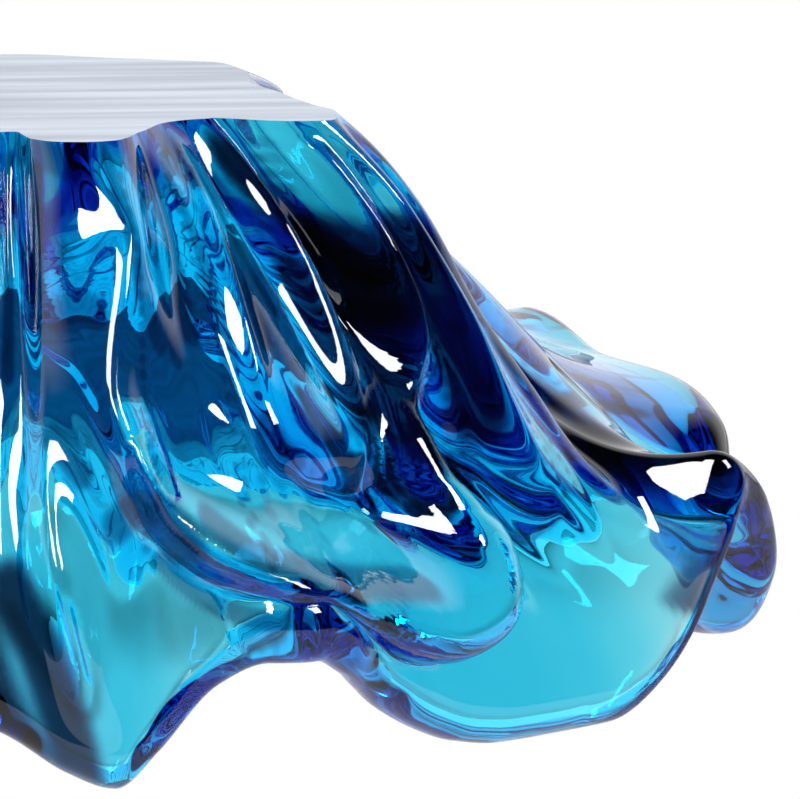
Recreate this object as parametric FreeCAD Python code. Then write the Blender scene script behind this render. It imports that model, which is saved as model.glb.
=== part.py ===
import FreeCAD, Part
import math
import os

# Heavy cased-glass bowl with a ribbed wall and a pulled, ruffled rim. It stands upside down: the
# rim lobes are on the floor, at height 0, and the ground face of the foot is on top. +Z is up.
# Azimuth 0 is the -Y side, and azimuths grow towards +X. Millimetres and degrees.
#
# Every wall is a smooth skin over a grid of points, column after column of azimuth. A column is a
# profile curve in the plane through the axis, plus what the ribs, the ridges and the rolled lip
# add to it. The four pieces are closed by skins and flat faces that they share, so that the glass
# has neither gaps nor overlaps.

# Driving dimensions, one cell each.
SIZES = {
    "foot_height": 111.0,       # height of the ground face over the floor
    "foot_depth": 16.0,         # thickness of the clear foot
    "lip_thickness": 13.0,      # thickness of the glass at the lip
    "shoulder_reach": 29.0,     # how far the wall flares out below the ground face
    "shoulder_drop": 27.0,      # how far it falls meanwhile
    "trough_handle": 34.0,      # how long the wall keeps the lip's slope at a low lobe
    "crest_handle": 42.0,       # the same at a raised lobe
    "crest_rise": 40.0,         # rise of the lip from a low lobe to a raised one
    "groove_edge": 0.12,        # how rounded the bottom of a groove is
    "groove_end": 0.78,         # share of the way down where the grooves have faded
    "groove_scale": 1.6,        # depth of the grooves against the table
    "inner_grooves": 0.15,      # how much of the grooves the hollow follows
    "hollow_height": 68.0,      # height of the hollow's ceiling
    "hollow_shoulder": 66.0,    # radius where the ceiling turns into the wall
    "ceiling_radius": 12.0,     # flat middle of the ceiling
    "inner_handle": 36.0,       # how long the inner wall keeps the lip's slope
    "ridge_fade": 16.0,         # how abruptly a ridge fades at the lip
    "roll_reach": 14.0,         # reach at which the roll has its full width
    "roll_plain": 6.0,          # reach up to which the roll has no overhang
    "degree_length": 2.05,      # arc length of one degree at the lobes
}

# The skins of the blue layer, as lifts off the hollow: at the lip, at the shoulder, at the ceiling.
LIFTS = {
    "blue_inside": (2.0, 2.0, 3.0),
    "blue_outside": (10.5, 6.5, 4.4),
}

# The lip, lobe by lobe: azimuth, radius, height, slope of the wall at the lip (degrees).
RIM = [
    (-30, 118, 9, -60), (-14, 134, 40, 0), (-2, 110, 22, -60), (4, 107, 12, -75), (9, 107, 8, -80),
    (13, 108, 16, -68), (18, 112, 30, -52), (22, 117, 36, -38), (26, 120, 36, -38), (29, 120, 32, -48),
    (32, 118, 26, -62), (35, 117, 20, -72), (40, 117, 13.5, -77), (44, 118, 10, -78), (49, 120, 8, -76),
    (56, 124, 7.5, -72), (61, 129, 8, -66), (65, 134, 15, -54), (68, 137, 28, -32), (70.5, 137, 41, 2),
    (72.5, 137, 47, 12), (76, 142, 41, -4), (81, 146, 25, -30), (86, 145, 13, -52), (92, 141, 8.5, -70),
    (98, 142, 28, -22), (104, 145, 39, -4), (112, 147, 42, -4), (121, 145, 43, -10), (131, 147, 49, 0),
    (141, 134, 24, -35),
]
# The rest of the lip goes on in waves: azimuth of each low lobe, then azimuth, radius and height of
# the raised one after it.
WAVES = [(150, 170, 144, 45), (190, 212, 148, 41), (235, 258, 141, 47), (280, 302, 145, 43)]
WAVES_END = 330
TROUGH = (124, 8, -75)
CREST_SLOPE = 6
FLANK = (133, 24, -35)

# Outline of the ground face: azimuth and radius.
OUTLINE = [
    (0, 45), (3, 54), (9, 59), (17, 60), (26, 52.5), (39, 45.5), (50, 48), (55, 63), (60, 69), (66, 66),
    (75, 59), (86, 53.5), (110, 49), (127, 53), (141, 60), (160, 58), (182, 62), (204, 55), (226, 62),
    (248, 55), (270, 62), (292, 54), (315, 62), (338, 54),
]

# Ribs: azimuth at the foot, azimuth at the lip, depth of the groove after the rib.
RIBS = [
    (-16, -14, 8), (13, 10, 4), (38, 29, 3), (48, 43, 4), (55, 51, 3), (59, 60, 3), (70, 71, 5),
    (83, 84, 6), (97, 97, 5), (110, 109, 6), (122, 121, 4), (134, 133, 6), (148, 150, 4), (162, 164, 6),
    (177, 178, 4), (191, 191, 5), (205, 207, 5), (219, 221, 4), (234, 235, 6), (249, 251, 4),
    (264, 264, 5), (278, 279, 4), (293, 293, 6), (308, 307, 4), (322, 320, 5), (334, 335, 4),
]

# Rounded ridges and dents of the wall: half width, then azimuth, height and rise of each point.
RIDGES = [
    (6.0, [(12, 109, 0), (14, 103, 2), (16, 97, 3), (14, 90, 3), (12, 80, 3), (11, 70, 4), (12, 62, 6),
           (13, 55, 3), (15, 50, 0)]),
    (3.5, [(38, 108, 0), (36, 101, 2), (33, 92, 3), (31, 84, 3), (30, 76, 2), (29, 66, 0)]),
    (4.5, [(48, 110, 0), (49, 104, 2), (48.5, 96, 3.5), (47.5, 87, 3.5), (45.5, 77, 3), (43.5, 67, 2), (42, 57, 0)]),
    (5.0, [(58, 110, 0), (58.5, 100, 2.5), (58.5, 90, 3), (58.5, 78, 3), (59, 66, 2.5), (61, 52, 1.5), (63, 42, 0)]),
    (7.0, [(70, 111, 0), (70, 104, 3), (70, 95, 4), (70.5, 86, 3.5), (71, 76, 1.5), (72, 66, 0)]),
    (8.0, [(18, 56, 0), (24, 52, -4), (30, 49, -7), (36, 46, -8), (41, 45, -7), (45, 50, 0)]),
    (7.0, [(52, 60, 0), (53, 50, -5), (54, 40, -6), (56, 30, -4), (57, 22, 0)]),
    (5.5, [(2, 60, 0), (2.5, 50, 4), (3.5, 40, 7), (4.5, 30, 6), (5.5, 20, 3), (6.5, 12, 0)]),
    (5.0, [(110, 107, 0), (118, 107, 6), (127, 107, 9), (136, 107, 6), (143, 107, 0)]),
]

# The front lobe's rolled lip and the crease above it: azimuth, height and reach of each point.
ROLL = [
    (12.5, 64, 0), (13.2, 58, 4), (15.2, 51.5, 7), (18.5, 46.5, 8.5), (22, 42.5, 8.5), (26, 38, 8),
    (30, 34.5, 9.5), (34, 32.5, 12.5), (38, 31.5, 15), (41, 32.3, 16), (43.6, 35, 16), (45.2, 39.5, 15),
    (45.6, 45, 12.5), (46, 51, 10), (47.5, 58, 7.5), (50, 65, 5.5), (52.3, 73, 4.5), (54, 83, 4),
    (54.8, 92, 3.5), (55, 102, 2), (55, 109, 0),
]
# Across the roll, from the hollow side to the steep side: distance, share of the reach, overhang.
ROLL_PROFILE = [
    (-13, 0, 0), (-9, 0.10, 0), (-5.5, 0.36, 0.1), (-2.5, 0.72, 0.7), (0, 0.94, 1.8), (1.6, 1.0, 3.2),
    (3.6, 0.9, 4.8), (5.5, 0.62, 5.2), (8, 0.25, 3.8), (11, 0.05, 1.6), (15, 0, 0),
]
COLUMN_STEP = 2.5               # degrees from column to column
FINE_STEP = 1.25                # the same in front, where the lip is rolled
FINE_FROM = 10.0
FINE_TO = 60.0
FOOT_ROWS = 5
WALL_ROWS = 32
LIP_ROWS = 9
LAYER_ROWS = 18


# ---------------------------------------------------------------- document and sheet

doc = FreeCAD.newDocument("ruffled_bowl")
sheet = doc.addObject("Spreadsheet::Sheet", "Sizes")
sheet_row = 0


def put(name, value):
    """Write one named number to the sheet."""
    global sheet_row
    sheet_row += 1
    sheet.set("A%d" % sheet_row, name)
    sheet.set("B%d" % sheet_row, str(value))
    sheet.setAlias("B%d" % sheet_row, name)


def put_table(name, columns, rows):
    """Write a table to the sheet, one alias for each number."""
    for number, row in enumerate(rows):
        for column, value in zip(columns, row):
            put("%s_%02d_%s" % (name, number, column), value)


def read_table(name, columns, count):
    return [[float(sheet.get("%s_%02d_%s" % (name, number, column))) for column in columns]
            for number in range(count)]


def wave_stations():
    """The stations of the waves: low lobe, flank, raised lobe, flank."""
    found = []
    for number, (low, high, radius, height) in enumerate(WAVES):
        following = WAVES[number + 1][0] if number + 1 < len(WAVES) else WAVES_END
        found.append((low,) + TROUGH)
        found.append(((low + high) / 2,) + FLANK)
        found.append((high, radius, height, CREST_SLOPE))
        found.append(((high + following) / 2,) + FLANK)
    return found


RIM_COLUMNS = ("azimuth", "radius", "height", "slope")
OUTLINE_COLUMNS = ("azimuth", "radius")
RIB_COLUMNS = ("foot", "lip", "depth")
RIDGE_COLUMNS = ("azimuth", "height", "rise")
ROLL_COLUMNS = ("azimuth", "height", "reach")
PROFILE_COLUMNS = ("distance", "share", "overhang")
LIFT_COLUMNS = ("lip", "shoulder", "ceiling")

stations = RIM + wave_stations()
for size_name, size_value in SIZES.items():
    put(size_name, size_value)
for lift_name, lift_values in LIFTS.items():
    put_table(lift_name, LIFT_COLUMNS, [lift_values])
put_table("rim", RIM_COLUMNS, stations)
put_table("outline", OUTLINE_COLUMNS, OUTLINE)
put_table("rib", RIB_COLUMNS, RIBS)
for ridge_number, (ridge_width, ridge_path) in enumerate(RIDGES):
    put("ridge_%d_width" % ridge_number, ridge_width)
    put_table("ridge_%d" % ridge_number, RIDGE_COLUMNS, ridge_path)
put_table("roll", ROLL_COLUMNS, ROLL)
put_table("roll_profile", PROFILE_COLUMNS, ROLL_PROFILE)
doc.recompute()

size = {name: float(sheet.get(name)) for name in SIZES}
blue_inside = read_table("blue_inside", LIFT_COLUMNS, 1)[0]
blue_outside = read_table("blue_outside", LIFT_COLUMNS, 1)[0]
rim = read_table("rim", RIM_COLUMNS, len(stations))
outline = read_table("outline", OUTLINE_COLUMNS, len(OUTLINE))
ribs = read_table("rib", RIB_COLUMNS, len(RIBS))
ridges = [(float(sheet.get("ridge_%d_width" % number)),
           read_table("ridge_%d" % number, RIDGE_COLUMNS, len(path)))
          for number, (width, path) in enumerate(RIDGES)]
roll = read_table("roll", ROLL_COLUMNS, len(ROLL))
roll_profile = read_table("roll_profile", PROFILE_COLUMNS, len(ROLL_PROFILE))


# ---------------------------------------------------------------- smooth curves through keys

def tangents(points):
    """Slopes at the points of a curve that never overshoots them. They are 0 at both ends."""
    step = [b[0] - a[0] for a, b in zip(points, points[1:])]
    slope = [(b[1] - a[1]) / width for a, b, width in zip(points, points[1:], step)]
    found = [0.0] * len(points)
    for i in range(1, len(points) - 1):
        if slope[i - 1] * slope[i] > 0:
            first = 2 * step[i] + step[i - 1]
            second = step[i] + 2 * step[i - 1]
            found[i] = (first + second) / (first / slope[i - 1] + second / slope[i])
    return found


def curve_value(points, tangent, at):
    i = max(k for k in range(len(points) - 1) if points[k][0] <= at)
    width = points[i + 1][0] - points[i][0]
    share = (at - points[i][0]) / width
    rest = 1 - share
    return (points[i][1] * (1 + 2 * share) * rest ** 2
            + points[i + 1][1] * share ** 2 * (3 - 2 * share)
            + width * share * rest * (tangent[i] * rest - tangent[i + 1] * share))


def closed_curve(keys, column):
    """A smooth function of azimuth through the keys."""
    points = sorted((key[0] % 360, key[column]) for key in keys)
    before = [(azimuth - 360, value) for azimuth, value in points]
    after = [(azimuth + 360, value) for azimuth, value in points]
    points = before + points + after
    tangent = tangents(points)
    return lambda azimuth: curve_value(points, tangent, azimuth % 360)


def open_curve(keys, column):
    """A smooth function through the keys, constant beyond both ends."""
    points = [(key[0], key[column]) for key in keys]
    tangent = tangents(points)
    return lambda at: curve_value(points, tangent, min(points[-1][0], max(points[0][0], at)))


def path_points(path, steps):
    """Points along a smooth line through the given ones."""
    first = [2 * a - b for a, b in zip(path[0], path[1])]
    last = [2 * a - b for a, b in zip(path[-1], path[-2])]
    path = [first] + path + [last]
    points = []
    for before, start, end, after in zip(path, path[1:], path[2:], path[3:]):
        for i in range(steps):
            t = i / steps
            points.append([(2 * b + (c - a) * t + (2 * a - 5 * b + 4 * c - d) * t ** 2
                            + (3 * b - a - 3 * c + d) * t ** 3) / 2
                           for a, b, c, d in zip(before, start, end, after)])
    return points


rim_radius = closed_curve(rim, 1)
rim_height = closed_curve(rim, 2)
rim_slope = closed_curve(rim, 3)
outline_radius = closed_curve(outline, 1)
roll_share = open_curve(roll_profile, 1)
roll_overhang = open_curve(roll_profile, 2)
roll_path = path_points(roll, 16)
ridge_paths = [(width, path_points(path, 8)) for width, path in ridges]


# ---------------------------------------------------------------- ribs, ridges and the roll

def groove(azimuth, share):
    """How deep the grooves between the ribs are, for a share of the way from foot to lip."""
    starts = [foot + (lip - foot) * share for foot, lip, depth in ribs]
    first = starts[0]
    turned = (azimuth - first) % 360
    starts = [start - first for start in starts] + [360.0]
    i = max(k for k in range(len(ribs)) if starts[k] <= turned)
    place = (turned - starts[i]) / (starts[i + 1] - starts[i])
    edge = size["groove_edge"]
    ridge = math.hypot(math.cos(math.pi * place), edge) / math.hypot(1, edge)
    left = max(0.0, 1 - share / size["groove_end"])
    fade = (1 - (1 - share) ** 6) * left ** 2 * (3 - 2 * left)
    return size["groove_scale"] * ribs[i][2] * (1 - ridge) * fade


def ridge_rise(azimuth, height):
    """How far the ridges raise the wall at a point."""
    azimuth = (azimuth + 180) % 360 - 180
    total = 0.0
    for width, path in ridge_paths:
        extreme = 0.0
        for at, level, rise in path:
            gap = ((azimuth - at) * size["degree_length"]) ** 2 + (height - level) ** 2
            value = rise * math.exp(-gap / width ** 2)
            if abs(value) > abs(extreme):
                extreme = value
        total += extreme
    return total


def rolled(azimuth, height):
    """What the roll adds to a point of the wall: radius, azimuth and height."""
    length = size["degree_length"]
    azimuth = (azimuth + 180) % 360 - 180
    gaps = [((azimuth - at) * length) ** 2 + (height - level) ** 2 for at, level, reach in roll_path]
    nearest = min(range(len(gaps)), key=gaps.__getitem__)
    at, level, reach = roll_path[nearest]
    before = roll_path[max(0, nearest - 1)]
    after = roll_path[min(len(roll_path) - 1, nearest + 1)]
    step = ((after[0] - before[0]) * length, after[1] - before[1])
    step = [part / math.hypot(*step) for part in step]
    across = (azimuth - at) * length * step[1] - (height - level) * step[0]
    width = 0.3 + 0.7 * reach / size["roll_reach"]
    place = math.copysign(math.sqrt(gaps[nearest]), across) / width
    strength = max(0.0, reach - size["roll_plain"]) / (size["roll_reach"] - size["roll_plain"])
    overhang = roll_overhang(place) * strength
    return reach * roll_share(place), overhang * step[1] / length, -overhang * step[0]


# ---------------------------------------------------------------- profiles, in radius and height

def bezier(points, share):
    """A point of the cubic curve with four control points."""
    rest = 1 - share
    weights = (rest ** 3, 3 * share * rest ** 2, 3 * share ** 2 * rest, share ** 3)
    return tuple(sum(w * p[k] for w, p in zip(weights, points)) for k in (0, 1))


def lip_frame(azimuth):
    """The outer lip point, the direction of the wall there, and its outward normal."""
    slope = math.radians(rim_slope(azimuth))
    along = (math.cos(slope), math.sin(slope))
    return (rim_radius(azimuth), rim_height(azimuth)), along, (-along[1], along[0])


def outer_curve(azimuth):
    """Control points of the outer wall, from the ground face to the lip."""
    top = (outline_radius(azimuth), size["foot_height"])
    lip, along, normal = lip_frame(azimuth)
    raised = min(1, max(0, (lip[1] - 6) / size["crest_rise"]))
    handle = size["trough_handle"] * (1 - raised) + size["crest_handle"] * raised
    shoulder = (top[0] + size["shoulder_reach"], top[1] - size["shoulder_drop"])
    return (top, shoulder, (lip[0] - handle * along[0], lip[1] - handle * along[1]), lip)


def outer_point(azimuth, share):
    """Radius, height and azimuth of a point of the outer skin."""
    radius, height = bezier(outer_curve(azimuth), share)
    fade = 1 - share ** size["ridge_fade"]
    out, aside, down = rolled(azimuth, height)
    radius += fade * (ridge_rise(azimuth, height) + out) - groove(azimuth, share)
    return radius, height + fade * down, azimuth + fade * aside


def foot_share(azimuth):
    """Share of the outer profile that belongs to the foot."""
    level = size["foot_height"] - size["foot_depth"]
    curve = outer_curve(azimuth)
    low, high = 0.0, 0.6
    for halving in range(40):
        middle = (low + high) / 2
        if bezier(curve, middle)[1] > level:
            low = middle
        else:
            high = middle
    return low


def lip_point(azimuth, share, inside, outside):
    """Half a circle round the lip, from one lift off the hollow to another."""
    lip, along, normal = lip_frame(azimuth)
    half = (outside - inside) / 2
    out = half * math.cos(math.pi * share) + (outside + inside) / 2 - size["lip_thickness"]
    end = half * math.sin(math.pi * share)
    radius, height = [lip[k] + normal[k] * out + along[k] * end for k in (0, 1)]
    return radius, height, azimuth


def layer_point(azimuth, share, lifts):
    """A point of a skin inside the glass, from the lip to the ceiling of the hollow."""
    lip, along, normal = lip_frame(azimuth)
    start = [lip[k] - normal[k] * (size["lip_thickness"] - lifts[0]) for k in (0, 1)]
    second = [start[k] - size["inner_handle"] * along[k] for k in (0, 1)]
    shoulder = (size["hollow_shoulder"] + lifts[1], size["hollow_height"] + lifts[1])
    ceiling = (size["ceiling_radius"], size["hollow_height"] + lifts[2])
    radius, height = bezier((start, second, shoulder, ceiling), share)
    follow = size["inner_grooves"] * math.sin(math.pi * share)
    return radius - follow * groove(azimuth, 0.5 * (1 - share) + 0.2), height, azimuth


# ---------------------------------------------------------------- skins

def column_azimuths():
    """Azimuths of the columns, closer together where the lip is rolled."""
    found = []
    azimuth = 0.0
    while azimuth < 360 - 1e-6:
        found.append(azimuth)
        azimuth += FINE_STEP if FINE_FROM <= azimuth < FINE_TO else COLUMN_STEP
    return found


AZIMUTHS = column_azimuths()


def place(radius, height, azimuth):
    angle = math.radians(azimuth)
    return FreeCAD.Vector(radius * math.sin(angle), -radius * math.cos(angle), height)


def band(poles, degree):
    """A smooth surface, closed round the axis, over columns of points."""
    surface = Part.BSplineSurface()
    columns = len(poles)
    spans = len(poles[0]) - degree
    surface.buildFromPolesMultsKnots(
        poles, [1] * (columns + 1), [degree + 1] + [1] * (spans - 1) + [degree + 1],
        list(range(columns + 1)), list(range(spans + 1)), True, False, 3, degree)
    return surface.toShape()


def skin(rows, point):
    """A smooth skin. point(azimuth, share) gives its grid."""
    return band([[place(*point(azimuth, row / (rows - 1))) for row in range(rows)]
                 for azimuth in AZIMUTHS], 3)


def ring(inside, outside):
    """The narrow band straight across from one row of points to another."""
    return band([[place(*inside(azimuth)), place(*outside(azimuth))] for azimuth in AZIMUTHS], 1)


def flat(point):
    """The flat face inside one row of points."""
    curve = Part.BSplineCurve()
    poles = [place(*point(azimuth)) for azimuth in AZIMUTHS]
    curve.buildFromPolesMultsKnots(poles, [1] * (len(poles) + 1), list(range(len(poles) + 1)), True, 3)
    return Part.Face(Part.Wire([curve.toShape()]))


def solid(faces):
    shell = Part.makeShell(faces)
    shell.sewShape(0.001)
    body = Part.Solid(shell.Shells[0] if shell.ShapeType != "Shell" else shell)
    if body.Volume < 0:
        body.reverse()
    return body


def layer_skin(lifts):
    return skin(LAYER_ROWS, lambda azimuth, share: layer_point(azimuth, share, lifts))


def ceiling(lifts):
    return flat(lambda azimuth: layer_point(azimuth, 1, lifts))


shares = {azimuth: foot_share(azimuth) for azimuth in AZIMUTHS}
thickness = size["lip_thickness"]
hollow = (0.0, 0.0, 0.0)

ground_face = flat(lambda azimuth: outer_point(azimuth, 0))
foot_skin = skin(FOOT_ROWS, lambda azimuth, share: outer_point(azimuth, shares[azimuth] * share))
split_face = flat(lambda azimuth: outer_point(azimuth, shares[azimuth]))
wall_skin = skin(WALL_ROWS, lambda azimuth, share: outer_point(
    azimuth, shares[azimuth] + (1 - shares[azimuth]) * share))
lip_skin = skin(LIP_ROWS, lambda azimuth, share: lip_point(azimuth, share, 0, thickness))
blue_lip = skin(LIP_ROWS, lambda azimuth, share: lip_point(
    azimuth, share, blue_inside[0], blue_outside[0]))
hollow_skin = layer_skin(hollow)
blue_inside_skin = layer_skin(blue_inside)
blue_outside_skin = layer_skin(blue_outside)
lining_ring = ring(lambda azimuth: layer_point(azimuth, 0, hollow),
                   lambda azimuth: layer_point(azimuth, 0, blue_inside))
hollow_ceiling = ceiling(hollow)
blue_inside_ceiling = ceiling(blue_inside)
blue_outside_ceiling = ceiling(blue_outside)

PIECES = {
    "ground_foot": [ground_face, foot_skin, split_face],
    "outer_casing": [split_face, wall_skin, lip_skin, lining_ring, blue_lip, blue_outside_skin,
                     blue_outside_ceiling],
    "blue_layer": [blue_lip, blue_outside_skin, blue_outside_ceiling, blue_inside_skin,
                   blue_inside_ceiling],
    "inner_lining": [lining_ring, blue_inside_skin, blue_inside_ceiling, hollow_skin,
                     hollow_ceiling],
}


def standing(shapes):
    """The move that puts the middle of the bowl's box over the origin and its lobes on the floor."""
    box = Part.makeCompound(shapes).optimalBoundingBox(False, False)
    middle = box.Center
    return FreeCAD.Vector(-middle.x, -middle.y, -box.ZMin)


shapes = {label: solid(faces) for label, faces in PIECES.items()}
move = standing(list(shapes.values()))
pieces = []
for label, shape in shapes.items():
    piece = doc.addObject("Part::Feature", label)
    piece.Label = label
    piece.Shape = shape
    piece.Placement = FreeCAD.Placement(move, FreeCAD.Rotation())
    pieces.append(piece)
doc.recompute()

for item in doc.Objects:
    if "Invalid" in item.State or "Error" in item.State:
        raise RuntimeError(item.Label + " failed to recompute")
for piece in pieces:
    if piece.Shape.isNull() or not piece.Shape.isValid() or piece.Shape.Volume <= 0:
        raise RuntimeError(piece.Label + " is not a valid solid")

os.makedirs("parts", exist_ok=True)
for piece in pieces:
    piece.Shape.exportStep("parts/%s.step" % piece.Label)
    box = piece.Shape.BoundBox
    print(piece.Label, round(piece.Shape.Volume / 1000, 1), "cm3", box)
print("moved by", move)
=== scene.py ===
import math
import random

import bpy
import numpy as np
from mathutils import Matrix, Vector


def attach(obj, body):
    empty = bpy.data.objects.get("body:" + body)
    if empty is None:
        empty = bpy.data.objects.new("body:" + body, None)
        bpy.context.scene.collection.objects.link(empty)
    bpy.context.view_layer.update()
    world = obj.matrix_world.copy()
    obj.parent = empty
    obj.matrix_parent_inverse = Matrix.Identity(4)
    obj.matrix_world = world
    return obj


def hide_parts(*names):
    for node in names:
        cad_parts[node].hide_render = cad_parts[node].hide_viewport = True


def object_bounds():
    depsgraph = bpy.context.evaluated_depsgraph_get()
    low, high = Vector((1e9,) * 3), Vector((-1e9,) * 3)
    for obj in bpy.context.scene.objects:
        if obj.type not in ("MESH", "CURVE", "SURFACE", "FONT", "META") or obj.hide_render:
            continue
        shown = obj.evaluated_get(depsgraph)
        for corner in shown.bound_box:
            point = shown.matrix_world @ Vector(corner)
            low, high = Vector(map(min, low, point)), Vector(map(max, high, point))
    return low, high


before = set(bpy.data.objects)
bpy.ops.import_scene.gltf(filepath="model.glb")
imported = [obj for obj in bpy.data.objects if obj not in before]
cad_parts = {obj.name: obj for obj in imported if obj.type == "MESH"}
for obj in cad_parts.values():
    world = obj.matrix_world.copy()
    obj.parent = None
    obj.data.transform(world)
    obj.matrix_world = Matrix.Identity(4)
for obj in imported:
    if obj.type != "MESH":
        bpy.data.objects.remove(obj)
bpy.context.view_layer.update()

# Heavy blue cased-glass bowl with a ruffled rim, upside down on its rim lobes, ground face up.
# Azimuth 0 is the -Y side and azimuths grow towards +X. Sizes are in millimetres until a mesh is
# made, because the bowl's own drawing is in millimetres.
MM = 0.001

FOOT_HEIGHT = 111.0         # ground face over the floor
FOOT_DEPTH = 16.0           # thickness of the clear foot
LIP_THICKNESS = 13.0
SHOULDER_REACH = 29.0       # how far the wall flares out below the ground face
SHOULDER_DROP = 27.0
TROUGH_HANDLE = 34.0        # how long the wall keeps the lip's slope at a low lobe
CREST_HANDLE = 42.0         # the same at a raised lobe
CREST_RISE = 40.0           # rise of the lip from a low lobe to a raised one
LOW_LIP = 6.0               # height of the lip's middle at the lowest lobes
GROOVE_EDGE = 0.12          # how rounded the bottom of a groove is
INNER_GROOVES = 0.15        # how much of the grooves the hollow follows
HOLLOW_HEIGHT = 68.0        # ceiling of the hollow
HOLLOW_SHOULDER = 66.0      # radius where the ceiling turns into the wall
CEILING_RADIUS = 12.0
INNER_HANDLE = 36.0         # how long the inner wall keeps the lip's slope
RIDGE_FADE = 16.0           # how abruptly a ridge fades at the lip
DEGREE_LENGTH = 2.05        # arc length of one degree at the lobes
RIDGE_STEPS = 24            # points between two of a ridge's points
STREAK_STEPS = 12           # the same for a streak
STREAKS_END = 100           # azimuth past which the grooves have a streak each
# Painted shade lines along the ribs, and darker ones in the grooves past STREAKS_END: seed, count per
# rib, top and drop.
SHADE_LINE_SEED = 7
SHADE_LINES_PER_RIB = 4
SHADE_LINE_TOP = 106              # height where a painted shade line starts
SHADE_LINE_DROP = 66              # how far down it runs
GROOVE_STREAK_TOP = 107
GROOVE_STREAK_DROP = 60

# Unevenness of the skins: waves round the bowl, waves down the wall, start, size.
OUTER_WAVES = [(23, 1.3, 0.4, 0.28), (37, -2.1, 2.1, 0.20), (14, 3.4, 4.0, 0.25)]
INNER_WAVES = [(17, 1.1, 1.0, 0.35), (29, -1.7, 2.6, 0.15), (11, 2.8, 0.3, 0.5)]

# The skins of the blue layer, as lifts off the hollow: at the lip, at the shoulder, at the ceiling.
BLUE_INSIDE = (2.0, 2.0, 3.0)
BLUE_OUTSIDE = (10.5, 6.5, 4.4)

# The lip, lobe by lobe: azimuth, radius, height, slope of the wall at the lip (degrees).
RIM = [
    (-30, 118, 9, -60), (-14, 134, 40, 0), (-2, 110, 22, -60), (4, 107, 12, -75), (9, 107, 8, -80),
    (13, 108, 16, -68), (18, 112, 30, -52), (22, 117, 36, -38), (26, 120, 36, -38), (29, 120, 32, -48),
    (32, 118, 26, -62), (35, 117, 20, -72), (40, 117, 13.5, -77), (44, 118, 10, -78), (49, 120, 8, -76),
    (56, 124, 7.5, -72), (61, 129, 8, -66), (65, 134, 15, -54), (68, 137, 28, -32), (70.5, 137, 41, 2),
    (72.5, 137, 47, 12), (76, 142, 41, -4), (81, 146, 25, -30), (86, 145, 13, -52), (92, 141, 8.5, -70),
    (98, 142, 28, -22), (104, 145, 39, -4), (112, 147, 42, -4), (121, 145, 43, -10), (131, 147, 49, 0),
    (141, 134, 24, -35),
]
# The rest of the lip goes on in waves: azimuth of each low lobe, then azimuth, radius and height of
# the raised one after it.
WAVES = [(150, 170, 144, 45), (190, 212, 148, 41), (235, 258, 141, 47), (280, 302, 145, 43)]
WAVES_END = 330
# Radius, height and slope at the low lobes of the waves, and half way up to the raised ones.
TROUGH = (124, 8, -75)
FLANK = (133, 24, -35)
CREST_SLOPE = 6

# Outline of the ground face: azimuth and radius.
OUTLINE = [
    (0, 45), (3, 54), (9, 59), (17, 60), (26, 52.5), (39, 45.5), (50, 48), (55, 63), (60, 69), (66, 66),
    (75, 59), (86, 53.5), (110, 49), (127, 53), (141, 60), (160, 58), (182, 62), (204, 55), (226, 62),
    (248, 55), (270, 62), (292, 54), (315, 62), (338, 54),
]

# Ribs: azimuth at the foot, azimuth at the lip, depth of the groove after the rib.
RIBS = [
    (-16, -14, 8), (13, 10, 4), (38, 29, 3), (48, 43, 4), (55, 51, 3), (59, 60, 3), (70, 71, 5),
    (83, 84, 6), (97, 97, 5), (110, 109, 6), (122, 121, 4), (134, 133, 6), (148, 150, 4), (162, 164, 6),
    (177, 178, 4), (191, 191, 5), (205, 207, 5), (219, 221, 4), (234, 235, 6), (249, 251, 4),
    (264, 264, 5), (278, 279, 4), (293, 293, 6), (308, 307, 4), (322, 320, 5), (334, 335, 4),
]
# The rib that follows each of them. After the last comes the first, a full turn on.
NEXT_RIBS = RIBS[1:] + [(RIBS[0][0] + 360, RIBS[0][1] + 360, 0)]
GROOVE_END = 0.78           # share of the way down where the grooves have faded
GROOVE_SCALE = 1.6          # depth of the grooves against the table

# Rounded ridges and dents of the wall: half width, then azimuth, height and rise of each point.
RIDGES = [
    (6.0, [(12, 109, 0), (14, 103, 2), (16, 97, 3), (14, 90, 3), (12, 80, 3), (11, 70, 4), (12, 62, 6),
           (13, 55, 3), (15, 50, 0)]),
    (3.5, [(38, 108, 0), (36, 101, 2), (33, 92, 3), (31, 84, 3), (30, 76, 2), (29, 66, 0)]),
    (4.5, [(48, 110, 0), (49, 104, 2), (48.5, 96, 3.5), (47.5, 87, 3.5), (45.5, 77, 3),
           (43.5, 67, 2), (42, 57, 0)]),
    (5.0, [(58, 110, 0), (58.5, 100, 2.5), (58.5, 90, 3), (58.5, 78, 3), (59, 66, 2.5),
           (61, 52, 1.5), (63, 42, 0)]),
    (7.0, [(70, 111, 0), (70, 104, 3), (70, 95, 4), (70.5, 86, 3.5), (71, 76, 1.5), (72, 66, 0)]),
    (8.0, [(18, 56, 0), (24, 52, -4), (30, 49, -7), (36, 46, -8), (41, 45, -7), (45, 50, 0)]),
    (7.0, [(52, 60, 0), (53, 50, -5), (54, 40, -6), (56, 30, -4), (57, 22, 0)]),
    (5.5, [(2, 60, 0), (2.5, 50, 4), (3.5, 40, 7), (4.5, 30, 6), (5.5, 20, 3), (6.5, 12, 0)]),
    (5.0, [(110, 107, 0), (118, 107, 6), (127, 107, 9), (136, 107, 6), (143, 107, 0)]),
]

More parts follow.
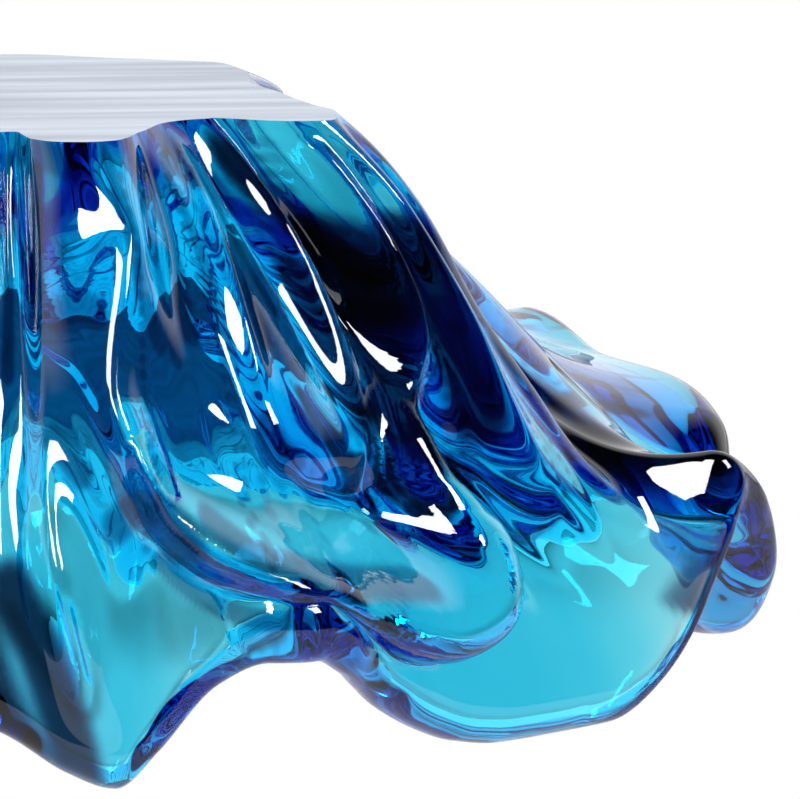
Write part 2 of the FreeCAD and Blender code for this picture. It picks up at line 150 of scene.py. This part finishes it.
# The front lobe's rolled lip and the crease above it: azimuth, height and reach of each point.
ROLL = [
    (12.5, 64, 0), (13.2, 58, 4), (15.2, 51.5, 7), (18.5, 46.5, 8.5), (22, 42.5, 8.5), (26, 38, 8),
    (30, 34.5, 9.5), (34, 32.5, 12.5), (38, 31.5, 15), (41, 32.3, 16), (43.6, 35, 16), (45.2, 39.5, 15),
    (45.6, 45, 12.5), (46, 51, 10), (47.5, 58, 7.5), (50, 65, 5.5), (52.3, 73, 4.5), (54, 83, 4),
    (54.8, 92, 3.5), (55, 102, 2), (55, 109, 0),
]
ROLL_REACH = 14.0           # reach at which the roll has its full width
ROLL_PLAIN = 6.0            # reach up to which the roll has no overhang
ROLL_STEPS = 16             # points between two of its points
ROLL_LEAST = 0.3            # width of a roll without reach, as a share of the full width
# Across the roll, from the hollow side to the steep side: distance, share of the reach, overhang.
ROLL_PROFILE = [
    (-13, 0, 0), (-9, 0.10, 0), (-5.5, 0.36, 0.1), (-2.5, 0.72, 0.7), (0, 0.94, 1.8), (1.6, 1.0, 3.2),
    (3.6, 0.9, 4.8), (5.5, 0.62, 5.2), (8, 0.25, 3.8), (11, 0.05, 1.6), (15, 0, 0),
]

# Painted shade: dark streaks on the front and the right, standing in for the dark reflections on the
# ribs and for the deep blue where the gather is thick: the share of the light that each lets through,
# its half width, and its points as azimuth and height. The painted shade lines along the ribs and
# grooves add more.
PAINTED_SHADE_STREAKS = [
    (0.22, 2.6, [(3.4, 105), (2.8, 93), (2.2, 80)]),
    (0.40, 2.0, [(358.6, 106), (358.4, 88), (358.4, 70)]),
    (0.50, 3.0, [(1.0, 108), (5.5, 108.5), (9.5, 107)]),
    (0.50, 3.2, [(5.0, 82), (7.4, 84), (9.6, 83.5)]),
    (0.50, 2.4, [(15.0, 108), (15.6, 96), (16.0, 86), (17.6, 77)]),
    (0.55, 2.0, [(19.5, 106), (19.6, 95), (19.6, 84), (19.4, 74)]),
    (0.42, 3.2, [(25.0, 107), (24.4, 96), (23.6, 88), (22.6, 78)]),
    (0.60, 2.0, [(29.5, 104), (29.0, 92), (27.5, 82), (26.6, 72)]),
    (0.40, 5.0, [(33.0, 106), (38.5, 103), (42.0, 99)]),
    (0.35, 3.0, [(33.5, 90), (33.0, 83), (32.4, 76)]),
    (0.45, 2.6, [(38.5, 97), (37.6, 88), (37.4, 80)]),
    (0.10, 6.5, [(47.6, 103), (49.0, 95), (50.6, 87), (51.0, 79)]),
    (0.10, 7.0, [(52.4, 88), (51.4, 79), (49.6, 71), (48.2, 63), (47.6, 56)]),
    (0.16, 4.5, [(44.6, 84), (43.6, 76), (43.0, 68), (43.4, 60)]),
    (0.10, 5.5, [(57.4, 90), (56.6, 81), (56.2, 72), (56.4, 64), (56.4, 57)]),
    (0.14, 6.0, [(62.0, 106), (63.6, 98), (64.6, 89), (67.0, 80), (69.0, 71), (71.0, 63)]),
    (0.20, 5.0, [(70.0, 104), (72.0, 96), (74.0, 88), (77.0, 78)]),
    (0.10, 7.0, [(68.0, 66), (72.0, 58), (74.0, 53), (70.5, 50)]),
    (0.22, 2.0, [(82.0, 60), (90.0, 52), (98.0, 46), (102.0, 40.5)]),
    (0.12, 6.0, [(71.0, 45), (73.6, 45), (76.0, 43.5)]),
    (0.30, 3.0, [(76.0, 41), (72.6, 34), (69.4, 27), (67.0, 20)]),
    (0.42, 2.6, [(18.6, 49), (22.0, 43.5), (27.0, 39.5), (32.5, 36.5), (38.5, 34.5)]),
    (0.50, 2.0, [(14.2, 41), (17.0, 36), (20.5, 33.5), (26.0, 34)]),
    (0.42, 3.6, [(10.0, 48), (12.6, 51), (15.4, 48), (16.0, 44)]),
    (0.10, 5.0, [(-1.4, 38), (1.2, 29), (3.0, 19), (4.4, 10), (5.2, 2)]),
    (0.10, 7.0, [(-6.4, 34), (-4.0, 22), (-1.8, 12), (0.2, 3)]),
    (0.40, 2.6, [(3.6, 62), (5.2, 59), (6.6, 56)]),
    (0.45, 2.6, [(28.6, 62), (29.6, 58), (31.0, 56)]),
    (0.35, 3.0, [(36.6, 58), (38.4, 53), (39.0, 49)]),
]

# The glass, and how it fades light: colour and density per metre of the clear and blue gathers.
GLASS_IOR = 1.52
CLEAR_ABSORPTION = (0.0, 0.855, 0.95, 1)
CLEAR_DENSITY = 22.0
BLUE_ABSORPTION = (0.0, 0.855, 0.963, 1)
BLUE_DENSITY = 320.0
# Red, green and blue of a painted shade streak, as powers of the light that it keeps.
PAINTED_SHADE_POWERS = (2.0, 2.5, 2.0)

# Points of the skins: columns round the bowl, rows down each skin.
COLUMNS = 1080
FOOT_ROWS = 36
WALL_ROWS = 240
LIP_ROWS = 30
HOLLOW_ROWS = 150
LAYER_ROWS = 90
FACE_ROWS = 24


# ---------------------------------------------------------------- curves round the bowl

def wave_stations():
    """The lip's keys where it goes on in waves, as in RIM."""
    found = []
    for number, (low, high, radius, height) in enumerate(WAVES):
        following = WAVES[number + 1][0] if number + 1 < len(WAVES) else WAVES_END
        found.append((low,) + TROUGH)
        found.append(((low + high) / 2,) + FLANK)
        found.append((high, radius, height, CREST_SLOPE))
        found.append(((high + following) / 2,) + FLANK)
    return found


def closed_curve(keys, column):
    """A smooth function of azimuth through the keys. It never overshoots a key."""
    table = sorted((key[0] % 360, key[column]) for key in keys)
    at = np.array([azimuth for azimuth, value in table], float)
    at = np.concatenate([at - 360, at, at + 360])
    value = np.tile(np.array([value for azimuth, value in table], float), 3)
    step = np.diff(at)
    slope = np.diff(value) / step
    first = 2 * step[1:] + step[:-1]
    second = step[1:] + 2 * step[:-1]
    same_way = slope[:-1] * slope[1:] > 0
    safe = np.where(same_way, slope[:-1], 1.0), np.where(same_way, slope[1:], 1.0)
    tangent = np.zeros_like(value)
    tangent[1:-1] = np.where(same_way, (first + second) / (first / safe[0] + second / safe[1]), 0.0)

    def value_at(azimuth):
        azimuth = azimuth % 360
        i = np.searchsorted(at, azimuth, side="right") - 1
        share = (azimuth - at[i]) / step[i]
        rest = 1 - share
        return (value[i] * (1 + 2 * share) * rest ** 2 + value[i + 1] * share ** 2 * (3 - 2 * share)
                + step[i] * share * rest * (tangent[i] * rest - tangent[i + 1] * share))

    return value_at


rim = RIM + wave_stations()
rim_radius = closed_curve(rim, 1)
rim_height = closed_curve(rim, 2)
rim_slope = closed_curve(rim, 3)
outline_radius = closed_curve(OUTLINE, 1)


def groove(azimuth, share):
    """How deep the grooves between the ribs are, for a share of the way from foot to lip."""
    first = RIBS[0][0] + (RIBS[0][1] - RIBS[0][0]) * share
    turned = (azimuth - first) % 360
    depth = np.zeros(np.broadcast(azimuth, share).shape)
    for (foot, lip, deep), (next_foot, next_lip, _) in zip(RIBS, NEXT_RIBS):
        start = foot + (lip - foot) * share - first
        end = next_foot + (next_lip - next_foot) * share - first
        place = (turned - start) / (end - start)
        ridge = np.sqrt(np.cos(math.pi * place) ** 2 + GROOVE_EDGE ** 2) / math.hypot(1, GROOVE_EDGE)
        depth = np.where((place >= 0) & (place < 1), deep * (1 - ridge), depth)
    left = np.clip(1 - share / GROOVE_END, 0, 1)
    return depth * (1 - (1 - share) ** 6) * left ** 2 * (3 - 2 * left) * GROOVE_SCALE


def path_points(path, steps):
    """Points along a smooth line through the given ones."""
    path = np.array(path, float)
    path = np.concatenate([2 * path[:1] - path[1:2], path, 2 * path[-1:] - path[-2:-1]])
    points = []
    for before, start, end, after in zip(path, path[1:], path[2:], path[3:]):
        for i in range(steps):
            t = i / steps
            points.append((2 * start + (end - before) * t
                           + (2 * before - 5 * start + 4 * end - after) * t ** 2
                           + (3 * start - before - 3 * end + after) * t ** 3) / 2)
    return np.array(points)


def ridge_rise(azimuth, height):
    """How far the ridges raise the wall at a point."""
    azimuth = (azimuth + 180) % 360 - 180
    total = np.zeros(np.broadcast(azimuth, height).shape)
    for width, path in RIDGES:
        extreme = np.zeros_like(total)
        for at, level, rise in path_points(path, RIDGE_STEPS):
            gap = ((azimuth - at) * DEGREE_LENGTH) ** 2 + (height - level) ** 2
            value = rise * np.exp(-gap / width ** 2)
            extreme = np.where(abs(value) > abs(extreme), value, extreme)
        total += extreme
    return total


def open_curve(keys, column):
    """A smooth function through the keys, level at both ends."""
    at = np.array([key[0] for key in keys], float)
    value = np.array([key[column] for key in keys], float)
    step = np.diff(at)
    slope = np.diff(value) / step
    same_way = slope[:-1] * slope[1:] > 0
    safe = np.where(same_way, slope[:-1], 1.0), np.where(same_way, slope[1:], 1.0)
    tangent = np.zeros_like(value)
    tangent[1:-1] = np.where(same_way, 2 / (1 / safe[0] + 1 / safe[1]), 0.0)

    def value_at(place):
        place = np.clip(place, at[0], at[-1])
        i = np.clip(np.searchsorted(at, place, side="right") - 1, 0, len(at) - 2)
        share = (place - at[i]) / step[i]
        rest = 1 - share
        return (value[i] * (1 + 2 * share) * rest ** 2 + value[i + 1] * share ** 2 * (3 - 2 * share)
                + step[i] * share * rest * (tangent[i] * rest - tangent[i + 1] * share))

    return value_at


roll_share = open_curve(ROLL_PROFILE, 1)
roll_overhang = open_curve(ROLL_PROFILE, 2)


def rolled(azimuth, height):
    """What the roll adds to a point of the wall: radius, azimuth and height."""
    azimuth, height = np.broadcast_arrays((azimuth + 180) % 360 - 180, height)
    path = path_points(ROLL, ROLL_STEPS)
    level, reach = path[:, 1], path[:, 2]
    round_way = path[:, 0] * DEGREE_LENGTH
    step = np.stack([np.gradient(round_way), np.gradient(level)])
    step /= np.hypot(*step)
    near = np.full(azimuth.shape, 1e9)
    which = np.zeros(azimuth.shape, int)
    for i in range(len(path)):
        gap = (azimuth * DEGREE_LENGTH - round_way[i]) ** 2 + (height - level[i]) ** 2
        which = np.where(gap < near, i, which)
        near = np.minimum(gap, near)
    across = (azimuth * DEGREE_LENGTH - round_way[which]) * step[1][which]
    across = across - (height - level[which]) * step[0][which]
    size = ROLL_LEAST + (1 - ROLL_LEAST) * reach[which] / ROLL_REACH
    place = np.sqrt(near) * np.sign(across) / size
    past_plain = np.maximum(0, reach[which] - ROLL_PLAIN)
    overhang = roll_overhang(place) * past_plain / (ROLL_REACH - ROLL_PLAIN)
    return (reach[which] * roll_share(place), overhang * step[1][which] / DEGREE_LENGTH,
            -overhang * step[0][which])


def ripple(azimuth, share, waves):
    """Uneven hand-worked surface: a few crossing waves."""
    total = 0.0
    for turns, runs, start, size in waves:
        total = total + size * np.sin(np.radians(azimuth * turns) + 2 * math.pi * runs * share + start)
    return total


# ---------------------------------------------------------------- profiles, in radius and height

def bezier(points, share):
    """Radius and height on a cubic curve."""
    rest = 1 - share
    weights = (rest ** 3, 3 * share * rest ** 2, 3 * share ** 2 * rest, share ** 3)
    return [sum(w * p[k] for w, p in zip(weights, points)) for k in (0, 1)]


def lip_frame(azimuth):
    """The lip's place, the direction in which the wall runs into it, and the outward normal."""
    slope = np.radians(rim_slope(azimuth))
    along = (np.cos(slope), np.sin(slope))
    return (rim_radius(azimuth), rim_height(azimuth)), along, (-along[1], along[0])


def outer_curve(azimuth):
    """Control points of the outer profile, from the ground face to the lip."""
    top = (outline_radius(azimuth), FOOT_HEIGHT)
    lip, along, normal = lip_frame(azimuth)
    raised = np.clip((lip[1] - LOW_LIP) / CREST_RISE, 0, 1)
    handle = TROUGH_HANDLE * (1 - raised) + CREST_HANDLE * raised
    shoulder = (top[0] + SHOULDER_REACH, top[1] - SHOULDER_DROP)
    return (top, shoulder, (lip[0] - handle * along[0], lip[1] - handle * along[1]), lip)


def outer_point(azimuth, share):
    """Radius, height and azimuth of a point of the outer skin."""
    radius, height = bezier(outer_curve(azimuth), share)
    radius = radius - groove(azimuth, share)
    radius = radius + 4 * share * (1 - share) * ripple(azimuth, share, OUTER_WAVES)
    fade = 1 - share ** RIDGE_FADE
    out, aside, down = rolled(azimuth, height)
    radius = radius + fade * (ridge_rise(azimuth, height) + out)
    return radius, height + fade * down, azimuth + fade * aside


def foot_share(azimuth):
    """Share of the outer profile that belongs to the foot."""
    curve = outer_curve(azimuth)
    low, high = np.zeros_like(azimuth), np.full_like(azimuth, 0.6)
    for _ in range(30):
        middle = (low + high) / 2
        above = bezier(curve, middle)[1] > FOOT_HEIGHT - FOOT_DEPTH
        low, high = np.where(above, middle, low), np.where(above, high, middle)
    return low


def lip_point(azimuth, share, inside=0.0, outside=LIP_THICKNESS):
    """Half a circle round the lip, from one lift off the hollow to another."""
    lip, along, normal = lip_frame(azimuth)
    half = (outside - inside) / 2
    depth = LIP_THICKNESS - (outside + inside) / 2
    out = half * np.cos(math.pi * share) - depth
    end = half * np.sin(math.pi * share)
    return [lip[k] + normal[k] * out + along[k] * end for k in (0, 1)]


def layer_point(azimuth, share, lifts=(0.0, 0.0, 0.0)):
    """A skin inside the glass, from the lip to the ceiling of the hollow."""
    lip, along, normal = lip_frame(azimuth)
    start = [lip[k] - normal[k] * (LIP_THICKNESS - lifts[0]) for k in (0, 1)]
    shoulder = (HOLLOW_SHOULDER + lifts[1], HOLLOW_HEIGHT + lifts[1])
    ceiling = (CEILING_RADIUS, HOLLOW_HEIGHT + lifts[2])
    second = [start[k] - INNER_HANDLE * along[k] for k in (0, 1)]
    radius, height = bezier((start, second, shoulder, ceiling), share)
    follow = INNER_GROOVES * np.sin(math.pi * share)
    radius = radius - follow * groove(azimuth, 0.5 * (1 - share) + 0.2)
    return radius + np.sin(math.pi * share) * ripple(azimuth, share, INNER_WAVES), height


# ---------------------------------------------------------------- grids of points

AZIMUTH = (np.arange(COLUMNS) * 360.0 / COLUMNS)[:, None]


def grid(radius, height, azimuth=AZIMUTH):
    """Points of a skin, columns by rows, in millimetres round the bowl's axis."""
    radius, height, azimuth = np.broadcast_arrays(radius, height, azimuth)
    angle = np.radians(azimuth)
    return np.stack([radius * np.sin(angle), -radius * np.cos(angle), height], -1)


def rows(count, first=0.0, last=1.0):
    """Shares for a skin's rows."""
    return np.linspace(first, last, count)[None, :]


def light_kept_by_painted_shade(azimuth, height):
    """Painted shade: the share of the light that passes the outside's tint at each point, less along
    the streaks.
    """
    kept = np.ones(height.shape)
    for share, width, path in PAINTED_SHADE_STREAKS + painted_shade_lines():
        line = path_points(path, STREAK_STEPS)
        off = (azimuth[:, 0] - line[:, 0].mean() + 180) % 360 - 180
        near = np.abs(off) < np.ptp(line[:, 0]) / 2 + 3 * width / DEGREE_LENGTH
        gap = np.full(height[near].shape, 1e9)
        for at, level in line:
            turn = ((azimuth[near] - at + 180) % 360 - 180) * DEGREE_LENGTH
            gap = np.minimum(gap, turn ** 2 + (height[near] - level) ** 2)
        kept[near] *= 1 - (1 - share) * np.exp(-(gap / width ** 2) ** 3)
    return kept


def painted_shade_lines():
    """Painted shade: faint dark lines along every rib, and darker ones in the grooves of the left side
    and the back.
    """
    dice = random.Random(SHADE_LINE_SEED)
    lines = []
    for (foot, lip, _), (next_foot, next_lip, _) in zip(RIBS, NEXT_RIBS):
        for _ in range(SHADE_LINES_PER_RIB):
            share = dice.random()
            top = foot + (next_foot - foot) * share
            end = lip + (next_lip - lip) * share
            path = [(top + (end - top) * step, SHADE_LINE_TOP - SHADE_LINE_DROP * step + dice.uniform(-1, 1))
                    for step in (0, 0.5, 1)]
            lines.append((dice.uniform(0.62, 0.9), dice.uniform(0.7, 1.5), path))
        if foot > STREAKS_END:
            path = [(foot + (lip - foot) * step, GROOVE_STREAK_TOP - GROOVE_STREAK_DROP * step)
                    for step in (0, 0.35, 0.7, 1)]
            lines.append((dice.uniform(0.45, 0.75), dice.uniform(1.5, 3.5), path))
    return lines


foot_end = foot_share(AZIMUTH[:, 0])[:, None]
foot_skin = grid(*outer_point(AZIMUTH, foot_end * rows(FOOT_ROWS)))
wall_skin = grid(*outer_point(AZIMUTH, foot_end + (1 - foot_end) * rows(WALL_ROWS)))
lip_skin = grid(*lip_point(AZIMUTH, rows(LIP_ROWS)))
hollow_skin = grid(*layer_point(AZIMUTH, rows(HOLLOW_ROWS)))
blue_outside = grid(*layer_point(AZIMUTH, rows(LAYER_ROWS), BLUE_OUTSIDE))
blue_lip = grid(*lip_point(AZIMUTH, rows(LIP_ROWS), BLUE_INSIDE[0], BLUE_OUTSIDE[0]))
blue_inside = grid(*layer_point(AZIMUTH, rows(LAYER_ROWS), BLUE_INSIDE))

everything = np.concatenate([foot_skin, wall_skin, lip_skin], 1).reshape(-1, 3)
low, high = everything.min(0), everything.max(0)
cad_low, cad_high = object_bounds()
axis_at = np.array([(cad_low[k] + cad_high[k]) / 2 / MM - (low[k] + high[k]) / 2 for k in (0, 1)]
                   + [cad_low[2] / MM - low[2]])


def to_frame(points):
    """From the drawing's millimetres to the frame's metres."""
    return (points + axis_at) * MM


# ---------------------------------------------------------------- meshes

def joined(*parts):
    """One grid from several that follow each other down a profile."""
    return np.concatenate([parts[0]] + [part[:, 1:] for part in parts[1:]], 1)


def closed_mesh(name, points, start_closed=True):
    """A mesh from a grid that goes round the axis, with a centre point at its end and perhaps start."""
    columns, count = points.shape[:2]
    vertices = to_frame(points.reshape(-1, 3))
    a = np.arange(columns)[:, None] * count + np.arange(count - 1)[None, :]
    b = (np.arange(columns)[:, None] + 1) % columns * count + np.arange(count - 1)[None, :]
    faces = np.stack([a, a + 1, b + 1, b], -1).reshape(-1, 4).tolist()
    centres = []
    for row in (0, count - 1) if start_closed else (count - 1,):
        centre_index = len(vertices) + len(centres)
        centres.append(to_frame(points[:, row].mean(0)))
        for i in range(columns):
            triangle = [centre_index, i * count + row, (i + 1) % columns * count + row]
            faces.append(triangle[::-1] if row else triangle)
    vertices = np.concatenate([vertices, np.array(centres)])
    mesh = bpy.data.meshes.new(name)
    mesh.from_pydata(vertices.tolist(), [], faces)
    mesh.update()
    piece = bpy.data.objects.new(name, mesh)
    bpy.context.scene.collection.objects.link(piece)
    return piece


def polished(piece):
    """Smooth shading, and no shadow: clear glass leaves the floor under it evenly lit."""
    piece.data.polygons.foreach_set("use_smooth", [True] * len(piece.data.polygons))
    piece.visible_diffuse = False
    piece.visible_shadow = False


outside = joined(foot_skin, wall_skin, lip_skin)
glass = closed_mesh("glass_body", joined(outside, hollow_skin), start_closed=False)
polished(glass)

# The painted shade streaks are a colour on the outside. They fade out on the lip.
kept = light_kept_by_painted_shade(np.broadcast_to(AZIMUTH, outside.shape[:2]), outside[:, :, 2])
FADE_START, FADE_LENGTH = 0.6, 0.4
lip_fade = np.clip(np.arange(LIP_ROWS - 1) / (FADE_LENGTH * LIP_ROWS) - FADE_START, 0, 1)
kept[:, 1 - LIP_ROWS:] += (1 - kept[:, 1 - LIP_ROWS:]) * lip_fade
kept = np.concatenate([kept, np.ones((COLUMNS, HOLLOW_ROWS - 1))], 1).reshape(-1)
tint = np.ones((len(glass.data.vertices), 4), np.float32)
for channel, power in enumerate(PAINTED_SHADE_POWERS):
    tint[:len(kept), channel] = kept ** power
streaks = glass.data.color_attributes.new("streaks", "FLOAT_COLOR", "POINT")
streaks.data.foreach_set("color", tint.reshape(-1))


# ---------------------------------------------------------------- materials

def new_material(name):
    """An empty node material, its nodes and its links."""
    material = bpy.data.materials.new(name)
    material.use_nodes = True
    material.node_tree.nodes.clear()
    return material, material.node_tree.nodes, material.node_tree.links


def clear_glass():
    """Clear glass with a faint blue cast, and painted shade: darker along the streaks."""
    material, nodes, links = new_material("clear_glass")
    output = nodes.new("ShaderNodeOutputMaterial")
    shader = nodes.new("ShaderNodeBsdfPrincipled")
    # Painted shade: the streaks colour darkens the base colour, and with it the light the glass lets
    # through.
    streaks = nodes.new("ShaderNodeVertexColor")
    streaks.layer_name = "streaks"
    links.new(streaks.outputs["Color"], shader.inputs["Base Color"])
    shader.inputs["Roughness"].default_value = 0.0
    shader.inputs["IOR"].default_value = GLASS_IOR
    shader.inputs["Transmission Weight"].default_value = 1.0
    volume = nodes.new("ShaderNodeVolumeAbsorption")
    volume.inputs["Color"].default_value = CLEAR_ABSORPTION
    volume.inputs["Density"].default_value = CLEAR_DENSITY
    links.new(shader.outputs["BSDF"], output.inputs["Surface"])
    links.new(volume.outputs["Volume"], output.inputs["Volume"])
    return material


def blue_glass():
    """Blue glass fused to clear glass on both sides, so its skins bend no light."""
    material, nodes, links = new_material("blue_glass")
    output = nodes.new("ShaderNodeOutputMaterial")
    shader = nodes.new("ShaderNodeBsdfTransparent")
    volume = nodes.new("ShaderNodeVolumeAbsorption")
    volume.inputs["Color"].default_value = BLUE_ABSORPTION
    volume.inputs["Density"].default_value = BLUE_DENSITY
    links.new(shader.outputs["BSDF"], output.inputs["Surface"])
    links.new(volume.outputs["Volume"], output.inputs["Volume"])
    return material


def ground_glass():
    """Finely ground glass: pale lilac grey with faint streaks from the grinding wheel."""
    material, nodes, links = new_material("ground_glass")
    output = nodes.new("ShaderNodeOutputMaterial")
    shader = nodes.new("ShaderNodeBsdfPrincipled")
    shader.inputs["Roughness"].default_value = 0.38
    where = nodes.new("ShaderNodeTexCoord")
    stretch = nodes.new("ShaderNodeMapping")
    stretch.inputs["Rotation"].default_value = (0, 0, math.radians(-6))
    stretch.inputs["Scale"].default_value = (9, 130, 1)
    streaks = nodes.new("ShaderNodeTexNoise")
    streaks.inputs["Scale"].default_value = 1.0
    streaks.inputs["Detail"].default_value = 5.0
    colours = nodes.new("ShaderNodeValToRGB")
    colours.color_ramp.elements[0].position = 0.33
    colours.color_ramp.elements[0].color = (0.17, 0.19, 0.25, 1)
    colours.color_ramp.elements[1].position = 0.66
    colours.color_ramp.elements[1].color = (0.36, 0.42, 0.49, 1)
    links.new(where.outputs["Object"], stretch.inputs["Vector"])
    links.new(stretch.outputs["Vector"], streaks.inputs["Vector"])
    links.new(streaks.outputs["Fac"], colours.inputs["Fac"])
    links.new(colours.outputs["Color"], shader.inputs["Base Color"])
    links.new(shader.outputs["BSDF"], output.inputs["Surface"])
    return material


glass.data.materials.append(clear_glass())
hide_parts("outer_casing", "inner_lining")
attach(glass, "root")

# The ground face closes the body's top, edge to edge with it.
FACE_CENTRE = 0.04          # innermost row, as a share of the way out
edge = foot_skin[:, :1]
inwards = rows(FACE_ROWS, FACE_CENTRE)[:, ::-1, None]
face = closed_mesh("ground_face", edge.mean(0) + (edge - edge.mean(0)) * inwards, start_closed=False)
face.data.materials.append(ground_glass())
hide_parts("ground_foot")
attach(face, "root")

layer = closed_mesh("blue_layer_glass", joined(blue_outside[:, ::-1], blue_lip, blue_inside))
polished(layer)
layer.data.materials.append(blue_glass())
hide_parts("blue_layer")
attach(layer, "root")


# ---------------------------------------------------------------- floor, light and camera

FLOOR_SIDE = 16.0           # metres


def white_floor():
    """White paper, which the camera sees evenly lit."""
    material, nodes, links = new_material("floor_white")
    output = nodes.new("ShaderNodeOutputMaterial")
    paper = nodes.new("ShaderNodeBsdfDiffuse")
    paper.inputs["Color"].default_value = (0.58, 0.58, 0.58, 1)
    even = nodes.new("ShaderNodeEmission")
    path = nodes.new("ShaderNodeLightPath")
    mix = nodes.new("ShaderNodeMixShader")
    links.new(path.outputs["Is Camera Ray"], mix.inputs["Fac"])
    links.new(paper.outputs["BSDF"], mix.inputs[1])
    links.new(even.outputs["Emission"], mix.inputs[2])
    links.new(mix.outputs["Shader"], output.inputs["Surface"])
    return material


floor_mesh = bpy.data.meshes.new("floor")
side = FLOOR_SIDE / 2
floor_mesh.from_pydata([(-side, -side, 0), (side, -side, 0), (side, side, 0), (-side, side, 0)], [],
                       [(0, 1, 2, 3)])
floor = bpy.data.objects.new("floor", floor_mesh)
bpy.context.scene.collection.objects.link(floor)
floor.data.materials.append(white_floor())
floor.location.z = cad_low[2]


LIT_POINT = (0, 0, 0.05)
BRIGHT_SIDE = (-0.25, 0.95, -0.2)       # where the studio's light surroundings are


def soft_box(name, place, width, height, watts):
    """A rectangular light that faces the bowl."""
    data = bpy.data.lights.new(name, "AREA")
    data.shape = "RECTANGLE"
    data.size = width
    data.size_y = height
    data.energy = watts
    light = bpy.data.objects.new(name, data)
    light.location = place
    light.rotation_euler = (Vector(LIT_POINT) - Vector(place)).to_track_quat("-Z", "Y").to_euler()
    bpy.context.scene.collection.objects.link(light)


soft_box("key", (-0.65, -1.0, 1.7), 0.62, 0.80, 36)
soft_box("fill", (0.70, -0.85, 1.6), 0.45, 0.60, 20)


def studio_world():
    """Bright behind the bowl and dark in front of it, but plain white to the camera."""
    world = bpy.data.worlds.new("studio")
    world.use_nodes = True
    nodes, links = world.node_tree.nodes, world.node_tree.links
    nodes.clear()
    output = nodes.new("ShaderNodeOutputWorld")
    where = nodes.new("ShaderNodeTexCoord")
    lean = nodes.new("ShaderNodeVectorMath")
    lean.operation = "DOT_PRODUCT"
    lean.inputs[1].default_value = BRIGHT_SIDE
    links.new(where.outputs["Generated"], lean.inputs[0])
    ramp = nodes.new("ShaderNodeValToRGB")
    ramp.color_ramp.elements[0].position = 0.46
    ramp.color_ramp.elements[0].color = (0.012, 0.012, 0.015, 1)
    ramp.color_ramp.elements[1].position = 0.60
    ramp.color_ramp.elements[1].color = (1, 1, 1, 1)
    half = nodes.new("ShaderNodeMath")
    half.operation = "MULTIPLY_ADD"
    half.inputs[1].default_value = 0.5
    half.inputs[2].default_value = 0.5
    links.new(lean.outputs["Value"], half.inputs[0])
    links.new(half.outputs["Value"], ramp.inputs["Fac"])
    tent = nodes.new("ShaderNodeBackground")
    tent.inputs["Strength"].default_value = 1.3
    links.new(ramp.outputs["Color"], tent.inputs["Color"])
    plain = nodes.new("ShaderNodeBackground")
    plain.inputs["Color"].default_value = (1, 1, 1, 1)
    path = nodes.new("ShaderNodeLightPath")
    mix = nodes.new("ShaderNodeMixShader")
    links.new(path.outputs["Is Camera Ray"], mix.inputs["Fac"])
    links.new(tent.outputs["Background"], mix.inputs[1])
    links.new(plain.outputs["Background"], mix.inputs[2])
    links.new(mix.outputs["Shader"], output.inputs["Surface"])
    return world


bpy.context.scene.world = studio_world()

# The camera stands 0.9 m from the bowl's axis and 241 mm over the floor, looks 12 degrees down, and
# is turned to the right, so that the right half of the bowl fills the picture.
IMAGE_WIDTH = 800
FOCAL_PIXELS = 4640.0       # focal length over one pixel's width
SENSOR = 36.0
CAMERA_DISTANCE = 900.0
CAMERA_HEIGHT = 241.0
CAMERA_PITCH = 11.98
CAMERA_YAW = 4.78
camera_data = bpy.data.cameras.new("camera")
camera_data.sensor_width = SENSOR
camera_data.lens = SENSOR * FOCAL_PIXELS / IMAGE_WIDTH
camera = bpy.data.objects.new("camera", camera_data)
camera.location = to_frame(np.array([0.0, -CAMERA_DISTANCE, CAMERA_HEIGHT])).tolist()
camera.rotation_euler = (math.radians(90 - CAMERA_PITCH), 0, math.radians(-CAMERA_YAW))
bpy.context.scene.collection.objects.link(camera)
bpy.context.scene.camera = camera

LIGHT_BOUNCES = 24
scene = bpy.context.scene
scene.view_settings.view_transform = "Standard"
scene.cycles.max_bounces = LIGHT_BOUNCES
scene.cycles.transmission_bounces = LIGHT_BOUNCES
scene.cycles.transparent_max_bounces = LIGHT_BOUNCES
scene.cycles.glossy_bounces = 8
scene.cycles.caustics_refractive = True
scene.cycles.caustics_reflective = False
scene.cycles.use_denoising = True
